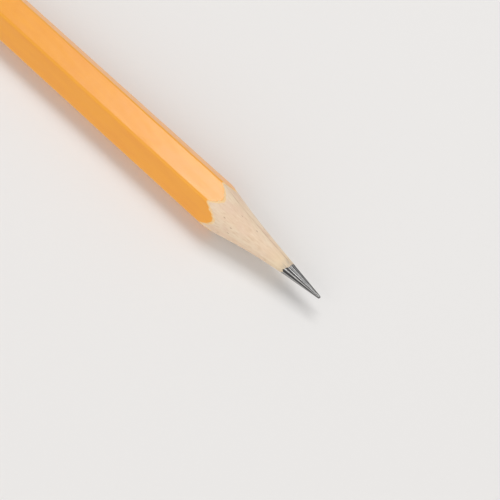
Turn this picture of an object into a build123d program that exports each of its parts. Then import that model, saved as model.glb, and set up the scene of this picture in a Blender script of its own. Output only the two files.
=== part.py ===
from build123d import *
import os
from math import acos, asin, atan2, cos, hypot, radians, sin

# A wood-cased graphite pencil, sharpened, with a ferrule and an eraser.
# Millimetres.  +X runs along the pencil to its point, +Z is up, and the
# pencil lies on one of its six flats.  The origin is under the middle of the
# length, on the surface that the flat rests on.

# Overall
OVERALL_LENGTH = 188.0  # the end of the eraser to the point of the lead
ACROSS_FLATS = 7.0  # over the lacquer
EDGE_RADIUS = 0.6  # rounding of the six long edges, over the lacquer

# Coats of paint on the wood
LACQUER_THICKNESS = 0.07
UNDERCOAT_THICKNESS = 0.05

# Lead
CORE_DIAMETER = 2.2
EXPOSED_LEAD = 6.7  # the point to the wood
TIP_RADIUS = 0.25  # the blunt end of the point

# Wood casing
CONE_START_ANGLE = 7.4  # the cone's half angle where the wood meets the lead, in degrees
CONE_HOLLOW_RADIUS = 134.0  # the cone is slightly hollow along its length, on this radius
GLUE_THICKNESS = 0.1
SEAM_ANGLE = 60.0  # the seam runs through this edge and the opposite one, in degrees from +Y

# Ferrule
FERRULE_LENGTH = 13.5
FERRULE_WALL = 0.22
FERRULE_INSET = 0.03  # how far the tube's outside stays inside the flats
FERRULE_LIP_RADIUS = 0.08  # rounding of the tube's two outer rims
RING_TOOL_RADIUS = 0.45  # the roller that presses the grip rings
RING_DEPTH = 0.14
RING_EDGE_DISTANCE = 1.3  # the outermost ring to the end of the tube
RING_PITCH = 3.6  # between the two rings of a pair

# Crimps that lock the tube on the wood
CRIMP_COUNT = 6
CRIMP_BALL_RADIUS = 0.6
CRIMP_DEPTH = 0.25

# Turned end of the wood, inside the ferrule
TENON_LENGTH = 6.5
TENON_CLEARANCE = 0.04  # between the turned wood and the tube, on the radius
PRESSED_CLEARANCE = 0.01  # around the rings and crimps pressed into wood and rubber

# Eraser
ERASER_DIAMETER = 6.6  # of the part that stands out
ERASER_CLEARANCE = 0.02  # between the plug and the tube, on the radius
ERASER_OUT_LENGTH = 6.0
ERASER_END_RADIUS = 0.9

# Worked out from the sizes above
AXIS_HEIGHT = ACROSS_FLATS / 2
TIP_X = OVERALL_LENGTH / 2
END_X = -OVERALL_LENGTH / 2
COLLAR_X = TIP_X - EXPOSED_LEAD
CORE_RADIUS = CORE_DIAMETER / 2
FERRULE_REAR_X = END_X + ERASER_OUT_LENGTH
SHOULDER_X = FERRULE_REAR_X + FERRULE_LENGTH
TENON_END_X = SHOULDER_X - TENON_LENGTH
FERRULE_RADIUS = ACROSS_FLATS / 2 - FERRULE_INSET
BORE_RADIUS = FERRULE_RADIUS - FERRULE_WALL
TENON_RADIUS = BORE_RADIUS - TENON_CLEARANCE
PLUG_RADIUS = BORE_RADIUS - ERASER_CLEARANCE
CRIMP_X = SHOULDER_X - RING_EDGE_DISTANCE - RING_PITCH / 2
CLEAR_RADIUS = ACROSS_FLATS  # outside every piece
AXIS_LINE = Axis((0, 0, AXIS_HEIGHT), (1, 0, 0))
LENGTHWISE = Plane(origin=(0, 0, AXIS_HEIGHT), x_dir=(1, 0, 0), z_dir=(0, -1, 0))

# The rings: one pair grips the wood, and the other grips the eraser.
RING_PLACES = [
    SHOULDER_X - RING_EDGE_DISTANCE,
    SHOULDER_X - RING_EDGE_DISTANCE - RING_PITCH,
    FERRULE_REAR_X + RING_EDGE_DISTANCE + RING_PITCH,
    FERRULE_REAR_X + RING_EDGE_DISTANCE,
]


def cross_section(x):
    """The plane across the pencil at x, with its own X along +Y and its own Y up."""
    return Plane(origin=(x, 0, AXIS_HEIGHT), x_dir=(0, 1, 0), z_dir=(1, 0, 0))


def hexagonal_bar(across_flats, edge_radius, start, end):
    """A bar with six flats, two of them level, and rounded long edges."""
    outline = RegularPolygon(across_flats / 2, 6, major_radius=False)
    outline = fillet(outline.vertices(), edge_radius)
    return extrude(cross_section(start) * outline, end - start)


def round_bar(radius, start, end):
    """A round bar on the pencil's axis."""
    return extrude(cross_section(start) * Circle(radius), end - start)


def turned(section):
    """The solid that a lengthwise half section makes when it turns about the axis."""
    return revolve(LENGTHWISE * section, AXIS_LINE)


def hollow_cone_point(radius):
    """The point of the hollow wooden cone at a radius, as a distance along and from the axis."""
    start_angle = radians(CONE_START_ANGLE)
    angle = acos(cos(start_angle) - (radius - CORE_RADIUS) / CONE_HOLLOW_RADIUS)
    return (COLLAR_X - CONE_HOLLOW_RADIUS * (sin(angle) - sin(start_angle)), radius)


def sharpened_room():
    """All the space that sharpening leaves: a hollow cone of wood and a blunt point of lead."""
    to_centre = EXPOSED_LEAD - TIP_RADIUS
    sight_angle = atan2(CORE_RADIUS, to_centre)
    lead_angle = sight_angle - asin(TIP_RADIUS / hypot(CORE_RADIUS, to_centre))
    centre_x = TIP_X - TIP_RADIUS
    tangent = (centre_x + TIP_RADIUS * sin(lead_angle), TIP_RADIUS * cos(lead_angle))
    middle_angle = (radians(90) - lead_angle) / 2
    middle = (centre_x + TIP_RADIUS * cos(middle_angle), TIP_RADIUS * sin(middle_angle))
    cone_start = hollow_cone_point(CORE_RADIUS)
    cone_middle = hollow_cone_point((CORE_RADIUS + CLEAR_RADIUS) / 2)
    cone_end = hollow_cone_point(CLEAR_RADIUS)
    behind = Polyline((TIP_X, 0), (END_X, 0), (END_X, CLEAR_RADIUS), cone_end)
    wood = ThreePointArc(cone_end, cone_middle, cone_start)
    lead = Line(cone_start, tangent)
    blunt_end = ThreePointArc(tangent, middle, (TIP_X, 0))
    return turned(make_face(behind + wood + lead + blunt_end))


def ring_tool(place, growth):
    """Half section of the roller that presses one ring, grown by a wall or a clearance."""
    centre_radius = FERRULE_RADIUS + RING_TOOL_RADIUS - RING_DEPTH
    return Pos(place, centre_radius) * Circle(RING_TOOL_RADIUS + growth)


def crimp_balls(growth):
    """The balls that press the crimps, grown by a wall or a clearance."""
    centre_radius = FERRULE_RADIUS + CRIMP_BALL_RADIUS - CRIMP_DEPTH
    balls = []
    for index in range(CRIMP_COUNT):
        place = PolarLocations(centre_radius, CRIMP_COUNT).locations[index]
        balls.append(cross_section(CRIMP_X) * place * Sphere(CRIMP_BALL_RADIUS + growth))
    return balls


def pressed_room():
    """What the rings and crimps take from the wood and the rubber under the tube."""
    growth = FERRULE_WALL + PRESSED_CLEARANCE
    room = crimp_balls(growth)
    for place in RING_PLACES:
        room.append(turned(ring_tool(place, growth)))
    return room


def seam_slab(thickness):
    """A slab along the axis, through the two edges where the slats meet."""
    slab = Rot(0, 0, SEAM_ANGLE) * Rectangle(4 * CLEAR_RADIUS, thickness)
    return extrude(cross_section(END_X) * slab, OVERALL_LENGTH)


def seam_half(side):
    """The half of the space on one side of the seam: -1 is the front, and 1 is the back."""
    reach = 2 * CLEAR_RADIUS
    middle = -side * (GLUE_THICKNESS + reach) / 2
    half = Rot(0, 0, SEAM_ANGLE) * (Pos(0, middle) * Rectangle(2 * reach, reach))
    return extrude(cross_section(END_X) * half, OVERALL_LENGTH)


def make_graphite_core():
    """The lead, from the end of the turned wood to its blunt point."""
    return round_bar(CORE_RADIUS, TENON_END_X, TIP_X) & sharpened_room()


def make_casing():
    """Both slats and their glue as one: six-sided, sharpened in front and turned behind."""
    coats = LACQUER_THICKNESS + UNDERCOAT_THICKNESS
    body = hexagonal_bar(ACROSS_FLATS - 2 * coats, EDGE_RADIUS - coats, SHOULDER_X, TIP_X)
    tenon = round_bar(TENON_RADIUS, TENON_END_X, SHOULDER_X)
    for pressed in pressed_room():
        tenon -= pressed
    casing = (body + tenon) & sharpened_room()
    return casing - round_bar(CORE_RADIUS, TENON_END_X, TIP_X)


def make_slat(side):
    """One half of the casing, with its half-round groove."""
    return make_casing() & seam_half(side)


def make_glue_line(side):
    """The film of glue above (1) or below (-1) the lead."""
    film = make_casing() & seam_slab(GLUE_THICKNESS)
    return film.solids().sort_by(Axis.Z)[-1 if side > 0 else 0]


def make_coat(outside, thickness):
    """A coat of paint over the six flats; outside is how deep its outer face lies."""
    outer = hexagonal_bar(ACROSS_FLATS - 2 * outside, EDGE_RADIUS - outside, SHOULDER_X, TIP_X)
    inside = outside + thickness
    inner = hexagonal_bar(ACROSS_FLATS - 2 * inside, EDGE_RADIUS - inside, SHOULDER_X, TIP_X)
    return (outer - inner) & sharpened_room()


def make_ferrule():
    """The thin tube, with its pressed rings and crimps standing in on the inside."""
    bore_side = Pos(FERRULE_REAR_X, 0) * Rectangle(
        FERRULE_LENGTH, BORE_RADIUS, align=(Align.MIN, Align.MIN)
    )
    section = Pos(FERRULE_REAR_X, BORE_RADIUS) * Rectangle(
        FERRULE_LENGTH, FERRULE_WALL, align=(Align.MIN, Align.MIN)
    )
    rims = section.vertices().group_by(Axis.Y)[-1]
    section = fillet(rims, FERRULE_LIP_RADIUS)
    for place in RING_PLACES:
        section += ring_tool(place, FERRULE_WALL) & bore_side
        section -= ring_tool(place, 0)
    tube = turned(section)
    bore = round_bar(BORE_RADIUS, FERRULE_REAR_X, SHOULDER_X)
    for dent in crimp_balls(FERRULE_WALL):
        tube += dent & bore
    for ball in crimp_balls(0):
        tube -= ball
    return tube


def make_eraser():
    """The rubber plug: a slimmer stem in the tube and a rounded end outside it."""
    stem = round_bar(PLUG_RADIUS, FERRULE_REAR_X, TENON_END_X)
    for pressed in pressed_room():
        stem -= pressed
    end = round_bar(ERASER_DIAMETER / 2, END_X, FERRULE_REAR_X)
    rim = end.edges().group_by(Axis.X)[0]
    return stem + fillet(rim, ERASER_END_RADIUS)


PIECES = {
    "graphite_core": make_graphite_core(),
    "front_slat": make_slat(-1),
    "back_slat": make_slat(1),
    "upper_glue_line": make_glue_line(1),
    "lower_glue_line": make_glue_line(-1),
    "undercoat": make_coat(LACQUER_THICKNESS, UNDERCOAT_THICKNESS),
    "lacquer_coat": make_coat(0.0, LACQUER_THICKNESS),
    "ferrule": make_ferrule(),
    "eraser": make_eraser(),
}

os.makedirs("parts", exist_ok=True)
for name, piece in PIECES.items():
    export_step(piece, f"parts/{name}.step")
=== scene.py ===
"""A sharpened, wood-cased graphite pencil, dressed around its CAD frame.

Lengths are in millimetres, apart from what is handed to Blender, which works
in metres.  The pencil lies along X with its point towards +X.  Angles around
it are measured from +Y towards +Z, in radians unless a name ends in _deg.
"""

import logging
import math
from collections.abc import Sequence
from dataclasses import dataclass, field
from enum import Enum

import bmesh
import bpy
import numpy as np
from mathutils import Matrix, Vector


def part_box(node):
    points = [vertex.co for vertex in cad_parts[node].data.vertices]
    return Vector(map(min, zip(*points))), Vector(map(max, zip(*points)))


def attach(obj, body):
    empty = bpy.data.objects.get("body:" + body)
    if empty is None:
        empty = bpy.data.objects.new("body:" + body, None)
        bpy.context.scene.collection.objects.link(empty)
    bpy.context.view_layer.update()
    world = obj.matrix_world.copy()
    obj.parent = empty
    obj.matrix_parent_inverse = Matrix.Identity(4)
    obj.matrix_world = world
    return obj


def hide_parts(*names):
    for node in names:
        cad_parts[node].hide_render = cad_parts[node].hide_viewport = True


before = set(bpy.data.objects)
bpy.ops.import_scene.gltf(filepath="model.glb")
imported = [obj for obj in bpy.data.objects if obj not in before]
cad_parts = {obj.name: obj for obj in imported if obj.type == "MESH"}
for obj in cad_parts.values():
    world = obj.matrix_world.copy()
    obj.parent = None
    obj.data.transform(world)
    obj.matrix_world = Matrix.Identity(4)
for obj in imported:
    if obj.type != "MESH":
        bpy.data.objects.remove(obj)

MM = 0.001
TURN = 2 * math.pi
EDGE_STEP = math.pi / 3  # from one long edge of the six-sided body to the next
EDGE_STEP_DEG = 60.0
ENDLESS = 1e6  # the pitch of an unevenness that changes only around the pencil
WELD_REACH = 2e-7  # points nearer than this, in metres, are one point
SLIVER_REACH = 1e-8
SEAM_REACH = 1e-6  # the two edges of the rolled tube meet within this, in metres
LOG = logging.getLogger("pencil")


# ---------------------------------------------------------------- sizes


@dataclass(frozen=True)
class PencilSizes:
    """The pencil's driving sizes, read back from the CAD frame."""

    tip_x: float
    collar_x: float
    shoulder_x: float
    tenon_end_x: float
    ferrule_rear_x: float
    end_x: float
    axis_height: float
    core_radius: float
    flat_radius: float
    edge_radius: float
    lacquer: float
    undercoat: float
    ferrule_radius: float
    eraser_radius: float

    @classmethod
    def from_frame(cls) -> "PencilSizes":
        """Measure the CAD nodes at rest.

        Returns:
            The sizes, in millimetres.
        """
        core_low, core_high = (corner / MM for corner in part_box("graphite_core"))
        coat_low, coat_high = (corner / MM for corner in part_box("lacquer_coat"))
        under_low, _ = (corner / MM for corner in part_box("undercoat"))
        _, wood_high = (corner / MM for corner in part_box("front_slat"))
        tube_low, tube_high = (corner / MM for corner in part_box("ferrule"))
        plug_low, plug_high = (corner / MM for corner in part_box("eraser"))
        flat = (coat_high.z - coat_low.z) / 2
        corner = (coat_high.y - coat_low.y) / 2
        sharp = 1 / math.cos(EDGE_STEP / 2)
        lacquer = under_low.z - coat_low.z
        return cls(
            tip_x=core_high.x,
            collar_x=wood_high.x,
            shoulder_x=coat_low.x,
            tenon_end_x=core_low.x,
            ferrule_rear_x=tube_low.x,
            end_x=plug_low.x,
            axis_height=(core_low.z + core_high.z) / 2,
            core_radius=(core_high.y - core_low.y) / 2,
            flat_radius=flat,
            edge_radius=(flat * sharp - corner) / (sharp - 1),
            lacquer=lacquer,
            undercoat=coat_high.z - wood_high.z - lacquer,
            ferrule_radius=(tube_high.y - tube_low.y) / 2,
            eraser_radius=(plug_high.y - plug_low.y) / 2,
        )


@dataclass(frozen=True)
class Ripple:
    """A smooth, repeatable unevenness over the length and the girth of a piece."""

    seed: int
    amount: float
    most_around: int
    shortest: float
    waves: int = 14
    longest_against_shortest: float = 3.5

    def at(self, x: np.ndarray, angle: np.ndarray) -> np.ndarray:
        """Sample the unevenness.

        Args:
            x: Places along the pencil.
            angle: Angles around it.

        Returns:
            Heights, spread around zero by about the amount.
        """
        chance = np.random.default_rng(self.seed)
        total = np.zeros(np.broadcast(x, angle).shape)
        for _ in range(self.waves):
            around = int(chance.integers(0, self.most_around + 1))
            pitch = self.shortest * chance.uniform(1.0, self.longest_against_shortest)
            way = chance.choice((-1.0, 1.0))
            phase = chance.uniform(0.0, TURN)
            total = total + np.cos(around * angle + way * TURN * x / pitch + phase)
        return self.amount * total / math.sqrt(self.waves)


def smooth_step(value: np.ndarray) -> np.ndarray:
    """Ease from 0 to 1 as the value goes from 0 to 1, and hold on either side."""
    held = np.clip(value, 0.0, 1.0)
    return held * held * (3 - 2 * held)


def six_sided(angle: np.ndarray, flat: float, edge: float) -> np.ndarray:
    """Distance from the axis to a six-sided outline with rounded edges.

    Args:
        angle: Angles around the axis; the edges are at each sixth of a turn.
        flat: The axis to a flat.
        edge: The rounding of an edge.

    Returns:
        The distances.
    """
    half = EDGE_STEP / 2
    from_edge = (angle + half) % EDGE_STEP - half
    centre = (flat - edge) / math.cos(half)
    reach = math.atan2(edge * math.sin(half), centre + edge * math.cos(half))
    sagging = np.maximum(edge**2 - (centre * np.sin(from_edge)) ** 2, 0.0)
    rounded = centre * np.cos(from_edge) + np.sqrt(sagging)
    level = flat / np.cos(half - np.abs(from_edge))
    return np.where(np.abs(from_edge) < reach, rounded, level)


def edge_nearness(angle: np.ndarray, reach_deg: float) -> np.ndarray:
    """A mask that is 1 on the six long edges and fades out beside them.

    Args:
        angle: Angles around the axis.
        reach_deg: How far the mask reaches from an edge.

    Returns:
        The mask.
    """
    half = EDGE_STEP / 2
    from_edge = np.abs((angle + half) % EDGE_STEP - half)
    return 1 - smooth_step(from_edge / math.radians(reach_deg))


def girth_shares(fine_deg: float, coarse_deg: float, edge_zone_deg: float) -> np.ndarray:
    """Places around half a turn, from edge to edge, closer together at the three flats' ends.

    Args:
        fine_deg: The step beside a long edge.
        coarse_deg: The step on a flat.
        edge_zone_deg: How far the fine steps reach from an edge.

    Returns:
        Shares of the half turn, from 0 to 1.
    """
    fine = int(round(edge_zone_deg / fine_deg))
    far_zone_deg = EDGE_STEP_DEG - edge_zone_deg
    coarse = int(round((far_zone_deg - edge_zone_deg) / coarse_deg))
    rising = np.linspace(0, edge_zone_deg, fine, endpoint=False)
    level = np.linspace(edge_zone_deg, far_zone_deg, coarse, endpoint=False)
    falling = np.linspace(far_zone_deg, EDGE_STEP_DEG, fine, endpoint=False)
    one_flat = np.concatenate([rising, level, falling])
    steps = [one_flat + EDGE_STEP_DEG * flat for flat in range(3)]
    return np.append(np.concatenate(steps), 180.0) / 180.0


# ---------------------------------------------------------------- meshes


def around_axis(x: np.ndarray, radius: np.ndarray, angle: np.ndarray, height: float) -> np.ndarray:
    """Turn places along, out from and around the axis into points.

    Args:
        x: Places along the pencil.
        radius: Distances from the axis.
        angle: Angles around it.
        height: The axis above the surface that the pencil lies on.

    Returns:
        An array of points, with a last side of three.
    """
    x, radius, angle = np.broadcast_arrays(x, radius, angle)
    return np.stack([x, radius * np.cos(angle), height + radius * np.sin(angle)], axis=-1)


def grid_faces(rows: int, columns: int, wrap_rows: bool, wrap_columns: bool) -> list[tuple[int, ...]]:
    """The four-sided faces of a grid of points.

    Args:
        rows: How many rows of points there are.
        columns: How many points a row has.
        wrap_rows: Whether the last row meets the first.
        wrap_columns: Whether each row is a closed ring.

    Returns:
        Faces as tuples of point numbers.
    """
    last_row = rows if wrap_rows else rows - 1
    last_column = columns if wrap_columns else columns - 1
    i, j = np.meshgrid(np.arange(last_row), np.arange(last_column), indexing="ij")
    below, right = (i + 1) % rows, (j + 1) % columns
    corners = [i * columns + j, i * columns + right, below * columns + right, below * columns + j]
    return [tuple(face) for face in np.stack([c.ravel() for c in corners], axis=1).tolist()]


class MeshSheet:
    """Gathers grids of points into one closed mesh."""

    def __init__(self) -> None:
        """Start with no points."""
        self.points: list[np.ndarray] = []
        self.faces: list[tuple[int, ...]] = []
        self.count = 0

    def add_grid(self, grid: np.ndarray, wrap_rows: bool = False, wrap_columns: bool = False) -> None:
        """Add a grid of points and its faces.

        Args:
            grid: Points in rows and columns, in millimetres.
            wrap_rows: Whether the last row meets the first.
            wrap_columns: Whether each row is a closed ring.
        """
        rows, columns = grid.shape[:2]
        faces = grid_faces(rows, columns, wrap_rows, wrap_columns)
        self.faces += [tuple(corner + self.count for corner in face) for face in faces]
        self.points.append(grid.reshape(-1, 3))
        self.count += rows * columns

    def piece(self, name: str, crease_deg: float = 35.0) -> bpy.types.Object:
        """Weld what was gathered into a piece with outward faces.

        Args:
            name: The piece's name.
            crease_deg: Faces that turn more than this meet in a sharp edge.

        Returns:
            The new object, at the origin.
        """
        mesh = bpy.data.meshes.new(name)
        mesh.from_pydata((np.concatenate(self.points) * MM).tolist(), [], self.faces)
        work = bmesh.new()
        work.from_mesh(mesh)
        bmesh.ops.remove_doubles(work, verts=work.verts, dist=WELD_REACH)
        bmesh.ops.dissolve_degenerate(work, edges=work.edges, dist=SLIVER_REACH)
        bmesh.ops.recalc_face_normals(work, faces=work.faces)
        crease = math.radians(crease_deg)
        for edge in work.edges:
            edge.smooth = len(edge.link_faces) == 2 and edge.calc_face_angle(0.0) < crease
        for face in work.faces:
            face.smooth = True
        work.to_mesh(mesh)
        work.free()
        made = bpy.data.objects.new(name, mesh)
        bpy.context.scene.collection.objects.link(made)
        return made


def paint_attribute(piece: bpy.types.Object, name: str, values: np.ndarray) -> None:
    """Store one number on each point of a piece, for its finish to read.

    Args:
        piece: The piece.
        name: The attribute's name.
        values: A number for each vertex.
    """
    layer = piece.data.attributes.new(name, "FLOAT", "POINT")
    layer.data.foreach_set("value", np.ascontiguousarray(values, dtype=np.float32))


def vertex_places(piece: bpy.types.Object, height: float) -> tuple[np.ndarray, np.ndarray, np.ndarray]:
    """Where a piece's points are.

    Args:
        piece: The piece.
        height: The axis above the surface that the pencil lies on.

    Returns:
        Places along the pencil, distances from its axis, and angles around it.
    """
    flat = np.zeros(len(piece.data.vertices) * 3, np.float32)
    piece.data.vertices.foreach_get("co", flat)
    places = flat.reshape(-1, 3).astype(float) / MM
    across, up = places[:, 1], places[:, 2] - height
    return places[:, 0], np.hypot(across, up), np.arctan2(up, across)


def seat(piece: bpy.types.Object, material: bpy.types.Material, slot: str, *nodes: str) -> None:
    """Give a finished piece its material, its body and the CAD nodes that it stands for.

    Args:
        piece: The piece.
        material: Its finish.
        slot: The record's material slot; not used.
        nodes: The CAD nodes that it replaces.
    """
    piece.data.materials.clear()
    piece.data.materials.append(material)
    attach(piece, "root")
    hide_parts(*nodes)
    LOG.info("%s: %d points, %d faces", piece.name, len(piece.data.vertices), len(piece.data.polygons))


# ---------------------------------------------------------------- patterns


Colour = tuple[float, float, float, float]
Triple = tuple[float, float, float]


@dataclass(frozen=True)
class Cloud:
    """A soft random pattern: how often it repeats each way, and how its finer layers go."""

    stretch: Triple
    detail: float = 2.0
    rough: float = 0.5


@dataclass(frozen=True)
class Ease:
    """A smooth change from low to high while a value goes from start to stop."""

    start: float
    stop: float
    low: float
    high: float


@dataclass(frozen=True)
class Lines:
    """Fine lengthwise lines: how far apart, how long and how deep they are."""

    spacing: float
    length: float
    depth: float


@dataclass(frozen=True)
class Specks:
    """Sparse specks: the cell that may hold one, its size in that cell, and the share of full cells."""

    spacing: float
    size: float
    cover: float


@dataclass(frozen=True)
class Patches:
    """Cloudy patches: their size and how much of the surface they cover."""

    size: float
    cover: float


# ---------------------------------------------------------------- node work


class NodeSheet:
    """Places and wires nodes in a shader or geometry tree."""

    def __init__(self, tree: bpy.types.NodeTree) -> None:
        """Work on a tree.

        Args:
            tree: The tree to add nodes to.
        """
        self.tree = tree

    def add(self, kind: str, **settings: object) -> bpy.types.Node:
        """Add a node and set its options.

        Args:
            kind: The node's type.
            settings: Its options, by name.

        Returns:
            The node.
        """
        node = self.tree.nodes.new(kind)
        for name, value in settings.items():
            setattr(node, name, value)
        return node

    def feed(self, socket: bpy.types.NodeSocket, value: object) -> None:
        """Link a value to a socket if it is a socket, or else set it.

        Args:
            socket: The input.
            value: An output socket, a number, a vector or a colour.
        """
        if isinstance(value, bpy.types.NodeSocket):
            self.tree.links.new(value, socket)
        else:
            socket.default_value = value

    def math(
        self, operation: str, first: object, second: object = 0.0, third: object = 0.0
    ) -> bpy.types.NodeSocket:
        """Add a math node.

        Args:
            operation: What it does.
            first: Its first value.
            second: Its second value.
            third: Its third value.

        Returns:
            Its result.
        """
        node = self.add("ShaderNodeMath", operation=operation)
        for socket, value in zip(node.inputs, (first, second, third)):
            self.feed(socket, value)
        return node.outputs[0]

    def remap(
        self, value: object, start: object, stop: object, low: object, high: object
    ) -> bpy.types.NodeSocket:
        """Ease a value from one range into another.

        Args:
            value: The value.
            start: Where its range starts.
            stop: Where its range stops.
            low: The result at the start.
            high: The result at the stop.

        Returns:
            The eased value.
        """
        node = self.add("ShaderNodeMapRange", interpolation_type="SMOOTHSTEP")
        names = ("Value", "From Min", "From Max", "To Min", "To Max")
        for name, given in zip(names, (value, start, stop, low, high)):
            self.feed(node.inputs[name], given)
        return node.outputs["Result"]

    def ease(self, value: object, change: Ease) -> bpy.types.NodeSocket:
        """Ease a value as a named change says."""
        return self.remap(value, change.start, change.stop, change.low, change.high)

    def noise(self, vector: object, detail: float, rough: float) -> bpy.types.NodeSocket:
        """Add a noise texture.

        Args:
            vector: Where it is read.
            detail: How many finer layers it has.
            rough: How strong the finer layers are.

        Returns:
            Its value, from 0 to 1.
        """
        node = self.add("ShaderNodeTexNoise")
        self.feed(node.inputs["Vector"], vector)
        node.inputs["Scale"].default_value = 1.0
        node.inputs["Detail"].default_value = detail
        node.inputs["Roughness"].default_value = rough
        return node.outputs["Fac"]

    def stretch(self, vector: object, scale: Triple, shift: Triple = (0, 0, 0)) -> bpy.types.NodeSocket:
        """Scale and shift a vector.

        Args:
            vector: The vector.
            scale: What each side is multiplied by.
            shift: What is then added.

        Returns:
            The new vector.
        """
        node = self.add("ShaderNodeVectorMath", operation="MULTIPLY_ADD")
        self.feed(node.inputs[0], vector)
        node.inputs[1].default_value = scale
        node.inputs[2].default_value = shift
        return node.outputs[0]

    def shrink(self, vector: object, size: object) -> bpy.types.NodeSocket:
        """Divide a vector by a size.

        Args:
            vector: The vector.
            size: The size.

        Returns:
            The new vector.
        """
        node = self.add("ShaderNodeVectorMath", operation="SCALE")
        self.feed(node.inputs[0], vector)
        self.feed(node.inputs["Scale"], self.math("DIVIDE", 1.0, size))
        return node.outputs[0]

    def split(self, vector: object) -> bpy.types.bpy_prop_collection:
        """Take a vector apart.

        Args:
            vector: The vector.

        Returns:
            The outputs X, Y and Z.
        """
        node = self.add("ShaderNodeSeparateXYZ")
        self.feed(node.inputs[0], vector)
        return node.outputs

    def join(self, *parts: object) -> bpy.types.NodeSocket:
        """Put a vector together.

        Args:
            parts: Its three parts.

        Returns:
            The vector.
        """
        node = self.add("ShaderNodeCombineXYZ")
        for socket, value in zip(node.inputs, parts):
            self.feed(socket, value)
        return node.outputs[0]

    def blend(self, share: object, first: object, second: object) -> bpy.types.NodeSocket:
        """Mix two colours.

        Args:
            share: How much of the second there is.
            first: The first colour.
            second: The second colour.

        Returns:
            The mixed colour.
        """
        node = self.add("ShaderNodeMix", data_type="RGBA")
        colour_inputs = [socket for socket in node.inputs if socket.type == "RGBA"]
        self.feed(node.inputs[0], share)
        self.feed(colour_inputs[0], first)
        self.feed(colour_inputs[1], second)
        return next(socket for socket in node.outputs if socket.type == "RGBA")


class FinishSheet(NodeSheet):
    """A material with one Principled shader, and helpers for its inputs."""

    def __init__(self, name: str) -> None:
        """Start a material.

        Args:
            name: The material's name.
        """
        self.material = bpy.data.materials.new(name)
        self.material.use_nodes = True
        super().__init__(self.material.node_tree)
        self.tree.nodes.clear()
        self.shader = self.add("ShaderNodeBsdfPrincipled")
        output = self.add("ShaderNodeOutputMaterial")
        self.tree.links.new(self.shader.outputs[0], output.inputs["Surface"])
        place = self.add("ShaderNodeTexCoord")
        self.place = self.stretch(place.outputs["Object"], (1 / MM,) * 3)

    def attribute(self, name: str, output: str = "Fac") -> bpy.types.NodeSocket:
        """Read an attribute that the mesh carries."""
        return self.add("ShaderNodeAttribute", attribute_name=name).outputs[output]

    def cloud(self, pattern: Cloud, place: object = None) -> bpy.types.NodeSocket:
        """Read a soft random pattern.

        Args:
            pattern: The pattern.
            place: Where it is read, which is the piece's own place if none is given.

        Returns:
            Its value, from 0 to 1.
        """
        place = self.stretch(self.place if place is None else place, pattern.stretch)
        return self.noise(place, pattern.detail, pattern.rough)

    def set(self, **values: object) -> None:
        """Feed the shader's inputs.

        Args:
            values: The inputs, named with underscores for spaces.
        """
        for name, value in values.items():
            self.feed(self.shader.inputs[name.replace("_", " ")], value)

    def relief(self, height: object, strength: float = 1.0) -> None:
        """Raise the surface by a height in millimetres.

        Args:
            height: The height.
            strength: How much of it shows.
        """
        bump = self.add("ShaderNodeBump")
        bump.inputs["Distance"].default_value = MM
        bump.inputs["Strength"].default_value = strength
        self.feed(bump.inputs["Height"], height)
        self.feed(self.shader.inputs["Normal"], bump.outputs["Normal"])

    def use(self, group: bpy.types.NodeTree, **values: object) -> bpy.types.bpy_prop_collection:
        """Place a node group and feed its inputs.

        Args:
            group: The group.
            values: Its inputs, named with underscores for spaces.

        Returns:
            The group's outputs.
        """
        node = self.add("ShaderNodeGroup", node_tree=group)
        for name, value in values.items():
            self.feed(node.inputs[name.replace("_", " ")], value)
        return node.outputs


def new_group(
    name: str, numbers: dict[str, float], outputs: Sequence[str]
) -> tuple[NodeSheet, bpy.types.bpy_prop_collection, bpy.types.bpy_prop_collection]:
    """Start a shader node group that reads a place and some numbers.

    Args:
        name: The group's name.
        numbers: The first value of each input that is a number.
        outputs: The names of its outputs, which are all numbers.

    Returns:
        A sheet to wire the group with, what comes in and what goes out.
    """
    group = bpy.data.node_groups.new(name, "ShaderNodeTree")
    group.interface.new_socket("Place", in_out="INPUT", socket_type="NodeSocketVector")
    for label, value in numbers.items():
        socket = group.interface.new_socket(label, in_out="INPUT", socket_type="NodeSocketFloat")
        socket.default_value = value
    for label in outputs:
        group.interface.new_socket(label, in_out="OUTPUT", socket_type="NodeSocketFloat")
    sheet = NodeSheet(group)
    return sheet, sheet.add("NodeGroupInput").outputs, sheet.add("NodeGroupOutput").inputs


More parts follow.
